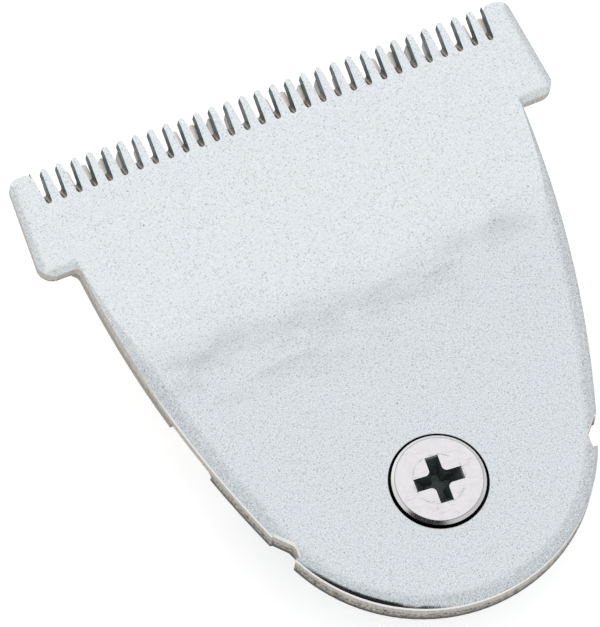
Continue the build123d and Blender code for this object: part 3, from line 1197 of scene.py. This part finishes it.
# %% Spring wire
spring_wire, tree = new_material("drawn_stainless_wire")
place = add_node(tree, "ShaderNodeTexCoord").outputs["Object"]
DRAW_LINE = 0.03 * MM  # die marks, really finer: drawn as coarse as they need to show
DRAW_STRETCH = 0.05
STAIN_SIZE = 1.2 * MM
drawn_place = add_node(
    tree,
    "ShaderNodeMapping",
    values={"Scale": (DRAW_STRETCH, 1.0, 1.0)},
    links={"Vector": place},
)
drawn = add_node(
    tree,
    "ShaderNodeTexNoise",
    values={"Scale": 1 / DRAW_LINE, "Detail": 2.0},
    links={"Vector": drawn_place.outputs[0]},
)
stain = add_node(
    tree,
    "ShaderNodeTexNoise",
    values={"Scale": 1 / STAIN_SIZE, "Detail": 4.0, "Roughness": 0.6},
    links={"Vector": place},
)
stained = add_node(
    tree,
    "ShaderNodeMapRange",
    values={"From Min": 0.5, "From Max": 0.7, "To Max": 0.7},
    links={"Value": stain.outputs[0]},
)
wire_colour = add_node(
    tree,
    "ShaderNodeMix",
    BLEND,
    values={UNDER: linear("c2c2c4"), OVER: linear("8c8175")},
    links={0: stained.outputs[0]},
)
drawn_shade = add_node(
    tree,
    "ShaderNodeMapRange",
    values={"From Min": NOISE_LOW, "From Max": NOISE_HIGH, "To Min": 0.8, "To Max": 1.1},
    links={"Value": drawn.outputs[0]},
)
wire_colour = add_node(
    tree,
    "ShaderNodeMix",
    MULTIPLY,
    values={0: 1.0},
    links={UNDER: wire_colour.outputs[MIXED], OVER: drawn_shade.outputs[0]},
)
wire_gloss = add_node(
    tree,
    "ShaderNodeMapRange",
    values={"To Min": 0.22, "To Max": 0.42},
    links={"Value": stained.outputs[0]},
)
shader = add_node(
    tree,
    "ShaderNodeBsdfPrincipled",
    values={"Metallic": 1.0},
    links={"Base Color": wire_colour.outputs[MIXED], "Roughness": wire_gloss.outputs[0]},
)
give(spring_wire, shader, "pressure_spring")

# %% [markdown]
# ## Insert: turned brass
# A lathe leaves rings: grooves round the side and circles on the end. Both come from one noise
# that is read by distance from the axis and by height, so it never changes on the way round.

# %% Insert brass
insert_brass, tree = new_material("turned_brass")
place = add_node(tree, "ShaderNodeTexCoord").outputs["Object"]
spot = add_node(tree, "ShaderNodeSeparateXYZ", links={0: place})
RING_WIDTH = 0.05 * MM  # the lathe's feed
ring_place = add_node(
    tree,
    "ShaderNodeCombineXYZ",
    links={"X": screw_distance(tree, place), "Y": spot.outputs["Z"]},
)
rings = add_node(
    tree,
    "ShaderNodeTexNoise",
    values={"Scale": 1 / RING_WIDTH, "Detail": 2.0, "Roughness": 0.6},
    links={"Vector": ring_place.outputs[0]},
)
brass_colour = add_node(
    tree,
    "ShaderNodeMix",
    BLEND,
    values={UNDER: linear("a8843c"), OVER: linear("dcbd74")},
    links={0: rings.outputs[0]},
)
brass_relief = add_node(
    tree,
    "ShaderNodeBump",
    values={"Strength": 0.5, "Distance": 0.006 * MM},
    links={"Height": rings.outputs[0]},
)
shader = add_node(
    tree,
    "ShaderNodeBsdfPrincipled",
    values={"Metallic": 1.0, "Roughness": 0.3},
    links={"Base Color": brass_colour.outputs[MIXED], "Normal": brass_relief.outputs[0]},
)
give(insert_brass, shader, "threaded_insert")

# %% [markdown]
# ## The studio
# The blade lies on a pale floor in a white room, under one broad soft lamp. The floor's own white
# is added for the eye of the camera and of shiny metal only, so that it lights nothing by itself
# and still keeps the blade's shadow.

# %% Floor
FLOOR_SIZE = 2.0
FLOOR_DROP = 0.01 * MM  # so that no face of the blade lies in the floor
FLOOR_GLOW = 0.6
half = FLOOR_SIZE / 2
floor_mesh = bpy.data.meshes.new("floor")
floor_corners = [(-half, -half, 0), (half, -half, 0), (half, half, 0), (-half, half, 0)]
floor_mesh.from_pydata(floor_corners, [], [(0, 1, 2, 3)])
floor = bpy.data.objects.new("floor", floor_mesh)
floor.location.z = -FLOOR_DROP
bpy.context.scene.collection.objects.link(floor)
floor_paint, tree = new_material("floor_white")
path = add_node(tree, "ShaderNodeLightPath")
seen = add_node(
    tree,
    "ShaderNodeMath",
    {"operation": "MAXIMUM"},
    links={0: path.outputs["Is Camera Ray"], 1: path.outputs["Is Glossy Ray"]},
)
seen = add_node(
    tree,
    "ShaderNodeMath",
    {"operation": "MAXIMUM"},
    links={0: seen.outputs[0], 1: path.outputs["Is Transmission Ray"]},
)
glow = add_node(
    tree,
    "ShaderNodeMath",
    {"operation": "MULTIPLY"},
    values={1: FLOOR_GLOW},
    links={0: seen.outputs[0]},
)
paint = add_node(tree, "ShaderNodeBsdfDiffuse", values={"Color": linear("f2f2f2")})
white = add_node(tree, "ShaderNodeEmission", links={"Strength": glow.outputs[0]})
surface = add_node(tree, "ShaderNodeAddShader", links={0: paint.outputs[0], 1: white.outputs[0]})
add_node(tree, "ShaderNodeOutputMaterial", links={"Surface": surface.outputs[0]})
floor.data.materials.append(floor_paint)
print("floor:", FLOOR_SIZE, "m across")

# %% [markdown]
# Metal shows the room. Its ceiling is white and it is a little darker near the horizon. Beyond
# the teeth stands a bright card, which lights their bevelled tips. Behind the photographer it is
# dark: that side is what draws the dark line along the tail's rounded shoulder. The card and the
# dark begin and are whole where the cosine of the angle to their middle passes these limits.

# %% Room
DIFFUSE_LIGHT = 0.78
HORIZON_LIGHT = 0.62
TEETH_SIDE_LIFT = 0.35
CARD_EDGE = 0.55
CARD_MIDDLE = 0.85
CARD_LIGHT = 0.3
DARK_SIDE = (-0.59, -0.69, 0.42)
DARK_EDGE = 0.8
DARK_MIDDLE = 0.86
DARK_LIGHT = 0.02
world = bpy.data.worlds.new("white_room")
bpy.context.scene.world = world
world.use_nodes = True
world.node_tree.nodes.clear()
tree = world.node_tree
looking = add_node(tree, "ShaderNodeTexCoord").outputs["Generated"]
way = add_node(tree, "ShaderNodeSeparateXYZ", links={0: looking})
raised = add_node(
    tree,
    "ShaderNodeMath",
    {"operation": "MULTIPLY_ADD"},
    values={1: TEETH_SIDE_LIFT},
    links={0: way.outputs["Y"], 2: way.outputs["Z"]},
)
walls = add_node(
    tree,
    "ShaderNodeMapRange",
    values={"From Min": 0.0, "From Max": 0.5, "To Min": HORIZON_LIGHT, "To Max": 1.0},
    links={"Value": raised.outputs[0]},
)
toward_dark = add_node(
    tree,
    "ShaderNodeVectorMath",
    {"operation": "DOT_PRODUCT"},
    values={1: DARK_SIDE},
    links={0: looking},
)
lit = add_node(
    tree,
    "ShaderNodeMapRange",
    {"interpolation_type": "SMOOTHSTEP"},
    values={"From Min": DARK_EDGE, "From Max": DARK_MIDDLE, "To Min": 1.0, "To Max": DARK_LIGHT},
    links={"Value": toward_dark.outputs["Value"]},
)
card = add_node(
    tree,
    "ShaderNodeMapRange",
    values={"From Min": CARD_EDGE, "From Max": CARD_MIDDLE, "To Max": CARD_LIGHT},
    links={"Value": way.outputs["Y"]},
)
walls = add_node(
    tree,
    "ShaderNodeMath",
    {"operation": "ADD"},
    links={0: walls.outputs[0], 1: card.outputs[0]},
)
room = add_node(
    tree,
    "ShaderNodeMath",
    {"operation": "MULTIPLY"},
    links={0: walls.outputs[0], 1: lit.outputs[0]},
)
path = add_node(tree, "ShaderNodeLightPath")
shiny = add_node(
    tree,
    "ShaderNodeMath",
    {"operation": "MAXIMUM"},
    links={0: path.outputs["Is Glossy Ray"], 1: path.outputs["Is Transmission Ray"]},
)
light_or_room = add_node(
    tree,
    "ShaderNodeMix",
    values={2: DIFFUSE_LIGHT},
    links={0: shiny.outputs[0], 3: room.outputs[0]},
)
strength = add_node(
    tree,
    "ShaderNodeMix",
    values={3: 1.0},
    links={0: path.outputs["Is Camera Ray"], 2: light_or_room.outputs[0]},
)
background = add_node(tree, "ShaderNodeBackground", links={"Strength": strength.outputs[0]})
add_node(tree, "ShaderNodeOutputWorld", links={"Surface": background.outputs[0]})
print("dark toward", DARK_SIDE)

# %% [markdown]
# The lamp is a softbox half a metre across, 0.7 m up and a little beyond the teeth. From the
# camera the flat face mirrors it, blurred, which is why the face is paler than its rounded edges.

# %% Lamp
LAMP_SIZE = 0.5
LAMP_POWER = 0.3
LAMP_PLACE = Vector((0.1, 0.3, 0.7))
lamp = bpy.data.lights.new("overhead_softbox", "AREA")
lamp.size = LAMP_SIZE
lamp.energy = LAMP_POWER
softbox = bpy.data.objects.new("overhead_softbox", lamp)
softbox.location = LAMP_PLACE
softbox.rotation_euler = (-LAMP_PLACE).to_track_quat("-Z", "Y").to_euler()
bpy.context.scene.collection.objects.link(softbox)
print("softbox of", LAMP_SIZE, "m with", LAMP_POWER, "W")

# %% [markdown]
# ## The picture
# The Standard view shows colours as they were written, without a film's curve.

# %% View
bpy.context.scene.view_settings.view_transform = "Standard"
